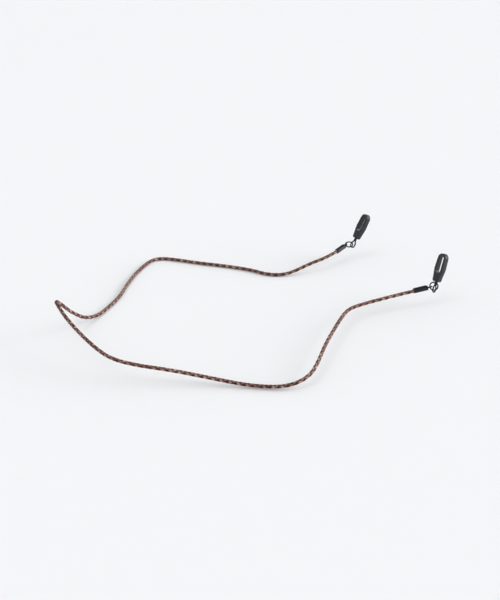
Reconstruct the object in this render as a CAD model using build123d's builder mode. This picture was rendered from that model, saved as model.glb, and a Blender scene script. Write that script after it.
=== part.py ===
"""Eyeglasses strap: a braided leather cord that ends, on each side, in a crimp, a jump ring,
a wire eye and a rubber loop that a temple arm slides through.

Millimetres. The origin is the seat of the temple arm in the left loop's slot, +X runs along the
temple arms towards their tips, +Y from the left temple to the right one, and +Z is up.
The strap lies as it does round glasses set down on a table: the arms hold the two loops up, and
the cord lies forward of them, on the -X side, down to the table's top at z = -24.5.
"""

import os
from math import cos, pi, radians, sin, tan

from build123d import *

# Cord
CORD_DIAMETER = 2.6
FILLET_SHARE = 0.45  # of the shorter run beside a corner

# The cord's way from the right crimp, past the nape bend, to the left crimp
CORD_POINTS = [
    (-14.8, 96.8, -14.1), (-30.4, 89.8, -15.1), (-50.0, 89.5, -17.2), (-66.0, 93.0, -23.0),
    (-78.0, 100.5, -23.2), (-85.0, 116.0, -23.2), (-97.5, 131.5, -23.2), (-112.0, 147.0, -23.2),
    (-124.0, 162.0, -23.2), (-132.5, 170.5, -23.2), (-140.5, 171.0, -23.2), (-149.0, 165.0, -23.2),
    (-161.0, 154.5, -23.2), (-173.5, 140.5, -23.2), (-185.0, 125.5, -23.2), (-197.5, 114.0, -23.2),
    (-210.5, 104.0, -23.0), (-222.0, 97.0, -18.7), (-229.0, 93.0, -12.5), (-234.5, 90.4, -7.0),
    (-239.0, 89.7, -1.4), (-242.0, 89.6, 1.9), (-243.9, 86.7, 3.4), (-244.2, 81.4, 2.7),
    (-243.8, 71.5, -0.5), (-241.5, 56.0, -4.8), (-238.0, 36.5, -8.5), (-233.5, 20.5, -10.5),
    (-221.5, 9.0, -13.0), (-204.5, -3.0, -15.5), (-186.0, -16.0, -19.8), (-168.0, -32.0, -22.8),
    (-153.0, -44.5, -22.6), (-143.0, -50.0, -20.0), (-132.5, -48.5, -17.8), (-122.0, -40.0, -16.0),
    (-108.0, -25.5, -15.0), (-93.0, -12.0, -14.6), (-80.0, -0.5, -14.5), (-69.5, 7.5, -14.6),
    (-60.0, 9.5, -14.8), (-43.5, 8.8, -14.4), (-25.92, 5.48, -13.00), (-9.42, 1.83, -11.55),
]

# Fold-over crimp, along its axis from the cord's end
CRIMP_GRIP = 9.2
CRIMP_END_WALL = 1.0
CRIMP_BORE = CORD_DIAMETER / 2 + 0.02
CRIMP_RADIUS = 1.72
CRIMP_EDGE = 0.2
FLAP_RADIUS = 2.02
FLAP_ANGLE = 110
FLAP_INSET = 0.35
TAB_HOLE_REACH = 2.9
TAB_HOLE_RADIUS = 1.05
TAB_EYE_RADIUS = 1.7
TAB_NECK = 2.4
TAB_THICKNESS = 0.8

# Jump ring of round wire
RING_WIRE = 0.9
RING_RADIUS = 2.75
RING_SPLIT = 1.3  # degrees
SPLIT_FROM_TAB = 80  # degrees

# Eye: a pear-shaped wire whose two ends enter a collar. Lengths run from the jump ring.
EYE_WIRE = 1.0
EYE_BAR = -1.3
EYE_HALF_WIDTH = 1.5
EYE_SHOULDER = 1.9
EYE_NECK = 3.7
EYE_TOP = 4.9
EYE_TOP_HALF_WIDTH = 0.52
EYE_FILLETS = [0.9, 1.1, 1.4, 1.4, 1.1, 0.9]
COLLAR_START = 3.9
COLLAR_END = 6.05
COLLAR_RADIUS = 1.05
COLLAR_EDGE = 0.2
STEM_RADIUS = 0.95
STEM_HEAD_RADIUS = 1.3
STEM_HEAD_LENGTH = 1.4
STEM_END = 9.3

# Rubber loop, in its own plane from the seat of the temple arm
SEAT_FROM_RING = 14.0
LOOP_BOTTOM = -7.8
LOOP_BOTTOM_HALF_WIDTH = 2.45
LOOP_BELLY = 1.5
LOOP_BELLY_RADIUS = 3.8
LOOP_TIP_RADIUS = 3.4
LOOP_THICKNESS = 4.3
LOOP_EDGE = 0.8
SLOT_RADIUS = 2.0
SLOT_REACH = 8.6  # from the seat to the centre of the slot's upper end
SLOT_EDGE = 0.25
STEM_CLEARANCE = 0.08


def direction(azimuth, elevation):
    """A unit vector from its two angles in degrees."""
    level = cos(radians(elevation))
    return Vector(level * cos(radians(azimuth)), level * sin(radians(azimuth)), sin(radians(elevation)))


def square_to(vector, axis):
    """The unit vector nearest to vector that is square to axis."""
    return (vector - axis * vector.dot(axis)).normalized()


class End:
    """Where one end's fittings stand, worked out from the cord's last run outwards."""

    def __init__(self, cord_end, cord_before, ring_face, ring_level, tab_angle, eye_angle,
                 loop_axis, loop_face, eye_face):
        self.cord_end = Vector(*cord_end)
        self.along = (self.cord_end - Vector(*cord_before)).normalized()
        self.tab_hole = self.cord_end + self.along * TAB_HOLE_REACH
        normal = direction(*ring_face)
        level = square_to(direction(*ring_level), normal)
        rise = normal.cross(level)

        def on_ring(angle):
            return level * cos(radians(angle)) + rise * sin(radians(angle))

        self.ring_centre = self.tab_hole - on_ring(tab_angle) * RING_RADIUS
        self.ring_plane = Plane(self.ring_centre, x_dir=on_ring(tab_angle + SPLIT_FROM_TAB), z_dir=normal)
        self.ring_axis = on_ring(tab_angle - 90)
        self.tab_normal = square_to(self.ring_axis, self.along)
        self.contact = self.ring_centre + on_ring(eye_angle) * RING_RADIUS
        self.eye_axis = on_ring(eye_angle + 90)
        self.loop_axis = direction(*loop_axis)
        self.seat = self.contact + self.loop_axis * SEAT_FROM_RING
        self.loop_plane = self.upright_plane(self.seat, loop_face)
        self.eye_plane = self.upright_plane(self.contact, eye_face)

    def upright_plane(self, origin, face_azimuth):
        """A plane that holds the loop's axis as its Y and faces the azimuth as nearly as it can."""
        face = square_to(direction(face_azimuth, 0), self.loop_axis)
        return Plane(origin, x_dir=self.loop_axis.cross(face), z_dir=face)

    def across(self, distance):
        """The plane square to the loop's axis at a distance from the jump ring's wire."""
        return Plane(self.contact + self.loop_axis * distance, z_dir=self.loop_axis)


LEFT = End(CORD_POINTS[-1], CORD_POINTS[-2], ring_face=(-118.5, 34.0), ring_level=(-28.6, -1.7),
           tab_angle=194.2, eye_angle=270.0, loop_axis=(12.7, 69.1), loop_face=9.0, eye_face=-6.0)
RIGHT = End(CORD_POINTS[0], CORD_POINTS[1], ring_face=(-114.9, 70.0), ring_level=(-28.6, -1.7),
            tab_angle=200.0, eye_angle=-25.0, loop_axis=(-15.0, 64.1), loop_face=2.0, eye_face=32.0)


def cord_radii(points):
    """The radius of each corner's arc: as large as its two runs allow."""
    radii = []
    for before, corner, after in zip(points, points[1:], points[2:]):
        run_in = Vector(*corner) - Vector(*before)
        run_out = Vector(*after) - Vector(*corner)
        half_turn = radians(run_in.get_angle(run_out) / 2)
        radii.append(FILLET_SHARE * min(run_in.length, run_out.length) / tan(half_turn))
    return radii


def make_cord():
    """The braid's outer shape: a round tube along straight runs joined by tangent arcs."""
    radii = cord_radii(CORD_POINTS)
    with BuildPart() as cord:
        with BuildLine():
            route = FilletPolyline(*CORD_POINTS, radius=radii)
        with BuildSketch(Plane(route @ 0, z_dir=route % 0)):
            Circle(CORD_DIAMETER / 2)
        sweep()
    expected = route.length * pi * CORD_DIAMETER**2 / 4
    print("corner radii", " ".join(f"{radius:.1f}" for radius in radii))
    print(f"cord length {route.length:.1f}, volume {cord.part.volume:.1f}, section x length {expected:.1f}")
    return cord


def make_crimp(end):
    """A folded metal sleeve on the cord's end, with a flat tab that holds the jump ring."""
    sleeve_plane = Plane(end.cord_end, x_dir=end.tab_normal, z_dir=end.along)
    tab_plane = Plane(end.cord_end, x_dir=end.along, z_dir=end.tab_normal)
    with BuildPart() as crimp:
        with BuildSketch(sleeve_plane):
            Circle(CRIMP_RADIUS)
        extrude(amount=CRIMP_END_WALL)
        fillet(crimp.faces().sort_by(Axis(end.cord_end, end.along))[-1].edges(), CRIMP_EDGE)
        with BuildSketch(sleeve_plane.offset(-CRIMP_GRIP)):
            Circle(CRIMP_RADIUS)
            Circle(CRIMP_BORE, mode=Mode.SUBTRACT)
        extrude(amount=CRIMP_GRIP)
        with BuildSketch(sleeve_plane.offset(FLAP_INSET - CRIMP_GRIP)):
            with BuildLine():
                outer = CenterArc((0, 0), FLAP_RADIUS, -FLAP_ANGLE / 2, FLAP_ANGLE)
                inner = CenterArc((0, 0), (CRIMP_BORE + CRIMP_RADIUS) / 2, -FLAP_ANGLE / 2, FLAP_ANGLE)
                Line(outer @ 0, inner @ 0)
                Line(outer @ 1, inner @ 1)
            make_face()
        extrude(amount=CRIMP_GRIP - FLAP_INSET)
        with BuildSketch(tab_plane):
            with BuildLine():
                neck = CRIMP_END_WALL / 2
                Polyline((neck, -TAB_NECK / 2), (neck, TAB_NECK / 2), (TAB_HOLE_REACH, TAB_EYE_RADIUS),
                         (TAB_HOLE_REACH, -TAB_EYE_RADIUS), close=True)
            make_face()
            with Locations((TAB_HOLE_REACH, 0)):
                Circle(TAB_EYE_RADIUS)
                Circle(TAB_HOLE_RADIUS, mode=Mode.SUBTRACT)
        extrude(amount=TAB_THICKNESS / 2, both=True)
    return crimp


def make_jump_ring(end):
    """A turn of round wire whose ends stand a hair apart."""
    with BuildPart() as ring:
        with BuildLine(end.ring_plane):
            turn = CenterArc((0, 0), RING_RADIUS, RING_SPLIT / 2, 360 - RING_SPLIT)
        with BuildSketch(Plane(turn @ 0, z_dir=turn % 0)):
            Circle(RING_WIRE / 2)
        sweep()
    return ring


def make_eye(end):
    """A wire eye on the jump ring, with a headed stem that turns inside the rubber loop."""
    half = [
        (EYE_TOP_HALF_WIDTH, EYE_TOP), (EYE_TOP_HALF_WIDTH, EYE_NECK),
        (EYE_HALF_WIDTH, EYE_SHOULDER), (EYE_HALF_WIDTH, EYE_BAR),
    ]
    corners = half + [(-x, y) for x, y in reversed(half)]
    with BuildPart() as eye:
        with BuildLine(end.eye_plane):
            wire = FilletPolyline(*corners, radius=EYE_FILLETS)
        with BuildSketch(Plane(wire @ 0, z_dir=wire % 0)):
            Circle(EYE_WIRE / 2)
        sweep()
        with BuildSketch(end.across(COLLAR_START)):
            Circle(COLLAR_RADIUS)
        extrude(amount=COLLAR_END - COLLAR_START)
        fillet(eye.edges(Select.LAST).filter_by(GeomType.CIRCLE).group_by(Edge.length)[-1], COLLAR_EDGE)
        with BuildSketch(end.across(COLLAR_START)):
            Circle(STEM_RADIUS)
        extrude(amount=STEM_END - COLLAR_START)
        with BuildSketch(end.across(STEM_END - STEM_HEAD_LENGTH)):
            Circle(STEM_HEAD_RADIUS)
        extrude(amount=STEM_HEAD_LENGTH)
    return eye


def make_loop(end):
    """A rubber tongue with a long slot for the temple arm and a socket for the eye's stem."""
    bottom = SEAT_FROM_RING + LOOP_BOTTOM
    head_start = STEM_END - STEM_HEAD_LENGTH - STEM_CLEARANCE
    with BuildPart() as loop:
        with BuildSketch(end.loop_plane):
            with BuildLine():
                Line((-LOOP_BOTTOM_HALF_WIDTH, LOOP_BOTTOM), (LOOP_BOTTOM_HALF_WIDTH, LOOP_BOTTOM))
                CenterArc((0, LOOP_BELLY), LOOP_BELLY_RADIUS, 0, 360)
                CenterArc((0, SLOT_REACH), LOOP_TIP_RADIUS, 0, 360)
            make_hull()
        extrude(amount=LOOP_THICKNESS / 2, both=True)
        fillet(loop.edges(), LOOP_EDGE)
        with BuildSketch(end.loop_plane):
            with Locations((0, SLOT_REACH / 2)):
                SlotCenterToCenter(SLOT_REACH, 2 * SLOT_RADIUS, rotation=90)
        extrude(amount=LOOP_THICKNESS, both=True, mode=Mode.SUBTRACT)
        fillet(loop.edges(Select.LAST).filter_by(end.loop_plane), SLOT_EDGE)
        with BuildSketch(end.across(bottom - 1)):
            Circle(STEM_RADIUS + STEM_CLEARANCE)
        extrude(amount=STEM_END - bottom + 1, mode=Mode.SUBTRACT)
        with BuildSketch(end.across(head_start)):
            Circle(STEM_HEAD_RADIUS + STEM_CLEARANCE)
        extrude(amount=STEM_END + STEM_CLEARANCE - head_start, mode=Mode.SUBTRACT)
    return loop


def save(piece, name):
    """Write one finished piece as its own STEP file."""
    piece.part.label = name
    export_step(piece.part, f"parts/{name}.step")


os.makedirs("parts", exist_ok=True)
save(make_cord(), "braided_cord")
for side, end in (("left", LEFT), ("right", RIGHT)):
    save(make_crimp(end), f"{side}_cord_crimp")
    save(make_jump_ring(end), f"{side}_jump_ring")
    save(make_eye(end), f"{side}_loop_eye")
    save(make_loop(end), f"{side}_temple_loop")
    print(side, "tab hole", end.tab_hole, "ring axis", end.ring_axis)
    print(side, "contact", end.contact, "eye axis", end.eye_axis)
    print(side, "seat", end.seat, "loop axis", end.loop_axis, "slot axis", end.loop_plane.z_dir)
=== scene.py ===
"""The looks of the eyeglasses strap: braided leather cord, blackened metal fittings, rubber loops."""

import math

import bpy
import numpy as np
from mathutils import Matrix, Vector, noise

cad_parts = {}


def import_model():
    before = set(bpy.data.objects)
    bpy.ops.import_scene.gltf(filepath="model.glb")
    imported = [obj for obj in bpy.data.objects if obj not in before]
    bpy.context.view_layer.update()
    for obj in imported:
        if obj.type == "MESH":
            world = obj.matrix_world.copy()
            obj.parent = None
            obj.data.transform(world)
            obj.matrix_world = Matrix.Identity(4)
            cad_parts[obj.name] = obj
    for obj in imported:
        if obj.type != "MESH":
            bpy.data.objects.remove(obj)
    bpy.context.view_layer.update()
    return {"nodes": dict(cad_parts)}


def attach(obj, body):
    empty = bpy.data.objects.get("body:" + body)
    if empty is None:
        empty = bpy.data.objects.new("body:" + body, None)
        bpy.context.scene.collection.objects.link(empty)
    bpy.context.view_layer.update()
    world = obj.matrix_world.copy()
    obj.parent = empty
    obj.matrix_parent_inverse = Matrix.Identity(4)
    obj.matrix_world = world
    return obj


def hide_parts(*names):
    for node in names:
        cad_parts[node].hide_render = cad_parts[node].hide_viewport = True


# The cord's way in metres, from the right crimp, round its front bend, to the left crimp
CORD_POINTS = [
    (-0.0148, 0.0968, -0.0141), (-0.0304, 0.0898, -0.0151), (-0.0500, 0.0895, -0.0172),
    (-0.0660, 0.0930, -0.0230), (-0.0780, 0.1005, -0.0232), (-0.0850, 0.1160, -0.0232),
    (-0.0975, 0.1315, -0.0232), (-0.1120, 0.1470, -0.0232), (-0.1240, 0.1620, -0.0232),
    (-0.1325, 0.1705, -0.0232), (-0.1405, 0.1710, -0.0232), (-0.1490, 0.1650, -0.0232),
    (-0.1610, 0.1545, -0.0232), (-0.1735, 0.1405, -0.0232), (-0.1850, 0.1255, -0.0232),
    (-0.1975, 0.1140, -0.0232), (-0.2105, 0.1040, -0.0230), (-0.2220, 0.0970, -0.0187),
    (-0.2290, 0.0930, -0.0125), (-0.2345, 0.0904, -0.0070), (-0.2390, 0.0897, -0.0014),
    (-0.2420, 0.0896, 0.0019), (-0.2439, 0.0867, 0.0034), (-0.2442, 0.0814, 0.0027),
    (-0.2438, 0.0715, -0.0005), (-0.2415, 0.0560, -0.0048), (-0.2380, 0.0365, -0.0085),
    (-0.2335, 0.0205, -0.0105), (-0.2215, 0.0090, -0.0130), (-0.2045, -0.0030, -0.0155),
    (-0.1860, -0.0160, -0.0198), (-0.1680, -0.0320, -0.0228), (-0.1530, -0.0445, -0.0226),
    (-0.1430, -0.0500, -0.0200), (-0.1325, -0.0485, -0.0178), (-0.1220, -0.0400, -0.0160),
    (-0.1080, -0.0255, -0.0150), (-0.0930, -0.0120, -0.0146), (-0.0800, -0.0005, -0.0145),
    (-0.0695, 0.0075, -0.0146), (-0.0600, 0.0095, -0.0148), (-0.0435, 0.0088, -0.0144),
    (-0.02592, 0.00548, -0.01300), (-0.00942, 0.00183, -0.01155),
]
CURVE_STEPS = 24  # between two points of the route

# Braid of four flat strands: two wind each way, and each crosses over and under in turn
STRAND_LAY = 0.0106  # cord length for one turn of a strand
STRAND_HALF_WIDTH = 0.00100
STRAND_HALF_THICKNESS = 0.00040
STRAND_OVER = 0.00090  # from the cord's centre to an over-strand's middle
STRAND_UNDER = 0.00030
STRAND_DIVE = 2.5  # how late and steeply a strand dives under the next
STRAND_CUP = 0.0012  # the radius that a flat strand bends round
STRAND_SQUARENESS = 2.6
RING_STEP = 0.0005
SECTION_POINTS = 14
START_TURN = 1.1  # radians from the frame at the right crimp
UNEVENNESS = 0.06
WANDER_SCALE = 160  # wanders in a metre of cord
SEED_STEP = 7.3  # sets each strand's wander well apart from the next one's
WIDTH_SEED = 50  # keeps a strand's width from wandering with its height
RIM_POWER = 1.4  # how fast the painted shade grows from a strand's middle to its edges
SUNK_POWER = 0.6  # how soon a diving strand gets its painted shade
UNDERSIDE = -0.2  # a section's points below this height get the full painted shade, as its edges do

# Looks. Noise is given in features in a metre. A tone is a place on a ramp and the colour there.
# A roughness goes from the smoothest spots to the roughest.
NOISE_ROUGHNESS = 0.55
LEATHER_SPECKLE = 520
LEATHER_CLOUD = 75
LEATHER_CLOUD_SHARE = 0.25
# The leather's own tones from dark to mid brown, and as the palest a pale pink painted highlight; the
# speckle and cloud noise scatter them at random
LEATHER_TONES_AND_HIGHLIGHT = (
    (0.36, (0.240, 0.100, 0.078)),
    (0.48, (0.460, 0.238, 0.194)),
    (0.60, (0.800, 0.530, 0.465)),
)
# Colour of the painted shade at the strands' edges and undersides
LEATHER_EDGE_SHADE = (0.020, 0.007, 0.004, 1)
# Colour of the painted shade where a strand dives under the next, and how much of it is laid on
LEATHER_GAP_SHADE = (0.016, 0.006, 0.004, 1)
LEATHER_GAP_SHADE_SHARE = 0.95
LEATHER_GRAIN = 5200
LEATHER_ROUGHNESS = (0.22, 0.50)
METAL_CLOUD = 900
METAL_TONES = ((0.3, (0.022, 0.022, 0.024)), (0.7, (0.045, 0.045, 0.049)))
METAL_GRAIN = 6000
METAL_ROUGHNESS = (0.28, 0.44)
RUBBER_CLOUD = 350
RUBBER_TONES = ((0.3, (0.007, 0.008, 0.010)), (0.7, (0.016, 0.018, 0.022)))
RUBBER_GRAIN = 4500
RUBBER_ROUGHNESS = (0.42, 0.62)
FLOOR_COLOUR = (0.833, 0.843, 0.861, 1)

# Table, camera and light
TABLE_HEIGHT = -0.0245
CAMERA_PLACE = Vector((-0.4310, -0.5384, 0.3132))
CAMERA_TARGET = Vector((-0.1085, 0.0729, -0.0245))
CAMERA_ROLL = -1.82  # degrees
CAMERA_LENS = 65.6  # millimetres
CAMERA_NEAR = 0.01
KEY_FROM = Vector((-0.51, -0.07, 1.0))
KEY_SPREAD = 32.0  # degrees
KEY_STRENGTH = 0.36
SKY_SIDE = 0.85
SKY_TOP = 0.64
WINDOW_AT = Vector((0.86, -0.44, 0.25))  # a bright window beyond the loops, low on the near side
WINDOW_EDGE = 0.84  # cosine of the angle from the window's middle to its edge
WINDOW_LEVEL = 7.0  # what the middle of the window adds to the sky
FLOOR_SIZE = 8.0


def material(name):
    """A new node material and its surface shader."""
    made = bpy.data.materials.new(name)
    made.use_nodes = True
    return made, made.node_tree, made.node_tree.nodes["Principled BSDF"]


def node(tree, kind, inputs=None, **settings):
    """A shader node of this kind with its settings, and its inputs set to values or linked."""
    made = tree.nodes.new(kind)
    for key, value in settings.items():
        setattr(made, key, value)
    for key, value in (inputs or {}).items():
        if isinstance(value, bpy.types.NodeSocket):
            tree.links.new(value, made.inputs[key])
        else:
            made.inputs[key].default_value = value
    return made


def noise_of(tree, scale, detail=4.0):
    """Noise over the object's own coordinates, with this many features in a metre."""
    place = node(tree, "ShaderNodeTexCoord").outputs["Object"]
    texture = node(tree, "ShaderNodeTexNoise", {
        "Vector": place, "Scale": scale, "Detail": detail, "Roughness": NOISE_ROUGHNESS,
    })
    return texture.outputs["Fac"]


def ramp(tree, factor, stops):
    """A colour ramp: each stop is a position and a colour."""
    made = node(tree, "ShaderNodeValToRGB", {"Fac": factor})
    elements = made.color_ramp.elements
    while len(elements) < len(stops):
        elements.new(0.5)
    for element, (position, colour) in zip(elements, stops):
        element.position = position
        element.color = (*colour, 1)
    return made.outputs["Color"]


def mix(tree, factor, first, second):
    """Two colours mixed by a factor. Inputs 6 and 7 and output 2 are the mix node's colours."""
    return node(tree, "ShaderNodeMix", {0: factor, 6: first, 7: second}, data_type="RGBA").outputs[2]


def attribute(tree, name):
    """A value stored on the mesh's points."""
    return node(tree, "ShaderNodeAttribute", attribute_name=name).outputs["Fac"]


def scaled(tree, value, low, high):
    """A value from 0 to 1 spread over low to high."""
    made = node(tree, "ShaderNodeMapRange", {"Value": value, "To Min": low, "To Max": high})
    return made.outputs["Result"]


def bump(tree, shader, height, distance, strength):
    """Surface relief of this depth in metres."""
    made = node(tree, "ShaderNodeBump", {"Height": height, "Distance": distance, "Strength": strength})
    tree.links.new(made.outputs["Normal"], shader.inputs["Normal"])


def leather():
    """Warm brown lace leather of randomly varied tone, with a painted highlight as its palest tone, and
    painted shade at the strands' edges and undersides and where they dive under.
    """
    made, tree, shader = material("braided_leather")
    speckle = noise_of(tree, LEATHER_SPECKLE, detail=3)
    cloud = noise_of(tree, LEATHER_CLOUD, detail=2)
    tone = node(tree, "ShaderNodeMix", {0: LEATHER_CLOUD_SHARE, 2: speckle, 3: cloud}).outputs[0]
    # Random leather tone, with a painted highlight at its palest
    colour = ramp(tree, tone, LEATHER_TONES_AND_HIGHLIGHT)
    # Painted shade at the strands' edges and undersides
    colour = mix(tree, attribute(tree, "edge_shade"), colour, LEATHER_EDGE_SHADE)
    # Painted shade where a strand dives under the next
    gap_shade = scaled(tree, attribute(tree, "sunk_shade"), 0.0, LEATHER_GAP_SHADE_SHARE)
    colour = mix(tree, gap_shade, colour, LEATHER_GAP_SHADE)
    tree.links.new(colour, shader.inputs["Base Color"])
    grain = noise_of(tree, LEATHER_GRAIN, detail=6)
    tree.links.new(scaled(tree, grain, *LEATHER_ROUGHNESS), shader.inputs["Roughness"])
    shader.inputs["Specular IOR Level"].default_value = 0.1
    bump(tree, shader, grain, distance=0.00004, strength=0.6)
    return made


def black_metal():
    """Satin black plating, faintly clouded."""
    made, tree, shader = material("black_metal")
    colour = ramp(tree, noise_of(tree, METAL_CLOUD), METAL_TONES)
    tree.links.new(colour, shader.inputs["Base Color"])
    shader.inputs["Metallic"].default_value = 1.0
    grain = noise_of(tree, METAL_GRAIN, detail=3)
    tree.links.new(scaled(tree, grain, *METAL_ROUGHNESS), shader.inputs["Roughness"])
    bump(tree, shader, grain, distance=0.00001, strength=0.4)
    return made


def black_rubber():
    """Moulded black rubber with a fine matt grain."""
    made, tree, shader = material("black_rubber")
    colour = ramp(tree, noise_of(tree, RUBBER_CLOUD), RUBBER_TONES)
    tree.links.new(colour, shader.inputs["Base Color"])
    grain = noise_of(tree, RUBBER_GRAIN, detail=5)
    tree.links.new(scaled(tree, grain, *RUBBER_ROUGHNESS), shader.inputs["Roughness"])
    shader.inputs["Specular IOR Level"].default_value = 0.45
    bump(tree, shader, grain, distance=0.00003, strength=0.5)
    return made


def route_line():
    """The cord's smooth line: a NURBS spline on the route's points, read back as a chain."""
    curve = bpy.data.curves.new("cord_route", "CURVE")
    curve.dimensions = "3D"
    curve.resolution_u = CURVE_STEPS
    spline = curve.splines.new("NURBS")
    spline.points.add(len(CORD_POINTS) - 1)
    for point, place in zip(spline.points, CORD_POINTS):
        point.co = (*place, 1)
    spline.order_u = 3
    spline.use_endpoint_u = True
    guide = bpy.data.objects.new("cord_route", curve)
    line = bpy.data.meshes.new_from_object(guide)
    places = np.array([vertex.co[:] for vertex in line.vertices])
    bpy.data.objects.remove(guide)
    bpy.data.meshes.remove(line)
    return places


def evenly(places, step):
    """The same line with its points a fixed step apart, and the distance to each."""
    gaps = np.linalg.norm(np.diff(places, axis=0), axis=1)
    reach = np.concatenate([[0], np.cumsum(gaps)])
    count = int(reach[-1] / step) + 1
    distance = np.linspace(0, reach[-1], count)
    return np.column_stack([np.interp(distance, reach, places[:, k]) for k in range(3)]), distance


def unit_rows(rows):
    """Each row at length one."""
    return rows / np.linalg.norm(rows, axis=1, keepdims=True)


def carried_normals(places):
    """Two normals at each point of a line, which turn with it without twisting."""
    along = unit_rows(np.gradient(places, axis=0))
    normals = np.zeros_like(along)
    normal = np.cross(along[0], (0, 1, 0))
    for k, direction in enumerate(along):
        normal = normal - direction * normal.dot(direction)
        normal /= np.linalg.norm(normal)
        normals[k] = normal
    return normals, np.cross(along, normals)


def unevenness(distance, seed):
    """A smooth wander about zero along the cord."""
    return np.array([noise.noise(Vector((s * WANDER_SCALE, seed * SEED_STEP, 0.5))) for s in distance])


def strand_rings(line, distance, normals, binormals, hand, phase, seed):
    """The closed sections of one strand along the cord, with its two masks of painted shade: at its edges
    and underside, and where it dives under.
    """
    turn = hand * 2 * math.pi * distance / STRAND_LAY + phase
    depth = 0.5 - 0.5 * np.cos(2 * (turn - hand * math.pi / 4))
    radius = STRAND_OVER - (STRAND_OVER - STRAND_UNDER) * depth**STRAND_DIVE
    radius = radius * (1 + UNEVENNESS * 0.5 * unevenness(distance, seed))
    angle = turn + START_TURN
    outward = normals * np.cos(angle)[:, None] + binormals * np.sin(angle)[:, None]
    middle = line + outward * radius[:, None]
    forward = unit_rows(np.gradient(middle, axis=0))
    outward = unit_rows(outward - forward * np.sum(outward * forward, axis=1, keepdims=True))
    sideways = np.cross(forward, outward)
    width = STRAND_HALF_WIDTH * (1 + UNEVENNESS * unevenness(distance, seed + WIDTH_SEED))
    around = np.linspace(0, 2 * math.pi, SECTION_POINTS, endpoint=False)
    across = np.sign(np.cos(around)) * np.abs(np.cos(around)) ** (2 / STRAND_SQUARENESS)
    height = np.sign(np.sin(around)) * np.abs(np.sin(around)) ** (2 / STRAND_SQUARENESS)
    offset = across[None, :] * width[:, None]
    lift = height[None, :] * STRAND_HALF_THICKNESS - offset**2 / (2 * STRAND_CUP)
    rings = middle[:, None, :] + sideways[:, None, :] * offset[..., None]
    rings = rings + outward[:, None, :] * lift[..., None]
    # Mask of the painted shade: it grows towards the strand's edges and is full on its underside
    edge_shade = np.abs(across) ** RIM_POWER
    edge_shade = np.maximum(edge_shade, np.where(height < UNDERSIDE, 1.0, 0.0))
    # Mask of the painted shade where the strand dives under the next
    sunk_shade = np.repeat((depth**SUNK_POWER)[:, None], SECTION_POINTS, axis=1)
    return rings, np.repeat(edge_shade[None, :], len(distance), axis=0), sunk_shade


def add_braid(surface):
    """The four strands of the cord as one mesh, hung on the cord's body in place of the hidden CAD cord."""
    line, distance = evenly(route_line(), RING_STEP)
    normals, binormals = carried_normals(line)
    points, faces, edge_shades, sunk_shades = [], [], [], []
    for strand in range(4):
        hand = 1 if strand < 2 else -1
        phase = math.pi * (strand % 2) + (0 if hand > 0 else math.pi / 2)
        rings, edge_shade, sunk_shade = strand_rings(line, distance, normals, binormals, hand, phase, strand)
        start = sum(len(block) for block in points)
        points.append(rings.reshape(-1, 3))
        edge_shades.append(edge_shade.ravel())
        sunk_shades.append(sunk_shade.ravel())
        last = len(distance) - 1
        for row in range(last):
            base = start + row * SECTION_POINTS
            for k in range(SECTION_POINTS):
                after = (k + 1) % SECTION_POINTS
                faces.append((base + k, base + after,
                              base + SECTION_POINTS + after, base + SECTION_POINTS + k))
        faces.append([start + k for k in reversed(range(SECTION_POINTS))])
        faces.append([start + last * SECTION_POINTS + k for k in range(SECTION_POINTS)])
    mesh = bpy.data.meshes.new("leather_braid")
    mesh.from_pydata(np.concatenate(points).tolist(), [], faces)
    for name, values in (("edge_shade", edge_shades), ("sunk_shade", sunk_shades)):
        mesh.attributes.new(name, "FLOAT", "POINT").data.foreach_set("value", np.concatenate(values))
    mesh.polygons.foreach_set("use_smooth", [True] * len(mesh.polygons))
    mesh.materials.append(surface)
    braid = bpy.data.objects.new("leather_braid", mesh)
    bpy.context.collection.objects.link(braid)
    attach(braid, "cord")
    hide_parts("braided_cord")


def finish_nodes(frame, metal, rubber):
    """The fittings keep their CAD shapes and get their materials."""
    for name, piece in frame["nodes"].items():
        if name == "braided_cord":
            continue
        piece.data.materials.clear()
        piece.data.materials.append(rubber if name.endswith("temple_loop") else metal)


def add_floor():
    """A plain pale table top."""
    bpy.ops.mesh.primitive_plane_add(size=FLOOR_SIZE, location=(0, 0, TABLE_HEIGHT))
    floor = bpy.context.object
    floor.name = "floor"
    made, _, shader = material("pale_table")
    shader.inputs["Base Color"].default_value = FLOOR_COLOUR
    shader.inputs["Roughness"].default_value = 0.8
    shader.inputs["Specular IOR Level"].default_value = 0.2
    floor.data.materials.append(made)


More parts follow.
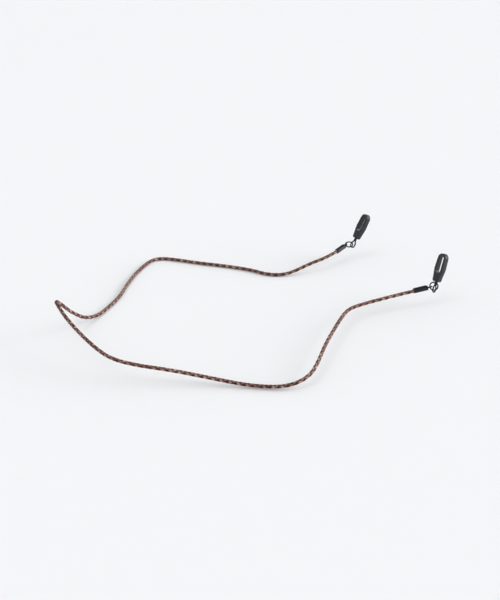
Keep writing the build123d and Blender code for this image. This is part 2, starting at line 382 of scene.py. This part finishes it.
def add_camera():
    """The camera of the photograph."""
    back = (CAMERA_PLACE - CAMERA_TARGET).normalized()
    level = Vector((0, 0, 1)).cross(back).normalized()
    upright = back.cross(level)
    roll = math.radians(CAMERA_ROLL)
    right = level * math.cos(roll) + upright * math.sin(roll)
    up = upright * math.cos(roll) - level * math.sin(roll)
    data = bpy.data.cameras.new("camera")
    data.lens = CAMERA_LENS
    data.clip_start = CAMERA_NEAR
    camera = bpy.data.objects.new("camera", data)
    camera.matrix_world = Matrix.Translation(CAMERA_PLACE) @ Matrix((right, up, back)).transposed().to_4x4()
    bpy.context.collection.objects.link(camera)
    bpy.context.scene.camera = camera


def add_light():
    """A bright studio: white surroundings, dimmer overhead, and one broad soft key light."""
    world = bpy.data.worlds.new("studio")
    world.use_nodes = True
    tree = world.node_tree
    tree.nodes["Background"].inputs["Color"].default_value = (1, 1, 1, 1)
    view = node(tree, "ShaderNodeTexCoord").outputs["Generated"]
    height = node(tree, "ShaderNodeSeparateXYZ", {"Vector": view}).outputs["Z"]
    towards = node(tree, "ShaderNodeVectorMath", {0: view, 1: WINDOW_AT.normalized()},
                   operation="DOT_PRODUCT").outputs["Value"]
    window = node(tree, "ShaderNodeMapRange", {"Value": towards, "From Min": WINDOW_EDGE,
                                               "To Max": WINDOW_LEVEL}, interpolation_type="SMOOTHSTEP")
    sky = node(tree, "ShaderNodeMapRange", {"Value": height, "To Min": SKY_SIDE, "To Max": SKY_TOP})
    glow = node(tree, "ShaderNodeMath", {0: sky.outputs["Result"], 1: window.outputs["Result"]})
    tree.links.new(glow.outputs["Value"], tree.nodes["Background"].inputs["Strength"])
    bpy.context.scene.world = world
    data = bpy.data.lights.new("key", "SUN")
    data.energy = KEY_STRENGTH
    data.angle = math.radians(KEY_SPREAD)
    key = bpy.data.objects.new("key", data)
    key.rotation_mode = "QUATERNION"
    key.rotation_quaternion = (-KEY_FROM).to_track_quat("-Z", "Y")
    bpy.context.collection.objects.link(key)
    bpy.context.scene.view_settings.view_transform = "Standard"


def main():
    """The whole scene."""
    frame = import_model()
    add_camera()
    add_light()
    add_floor()
    add_braid(leather())
    finish_nodes(frame, black_metal(), black_rubber())


main()
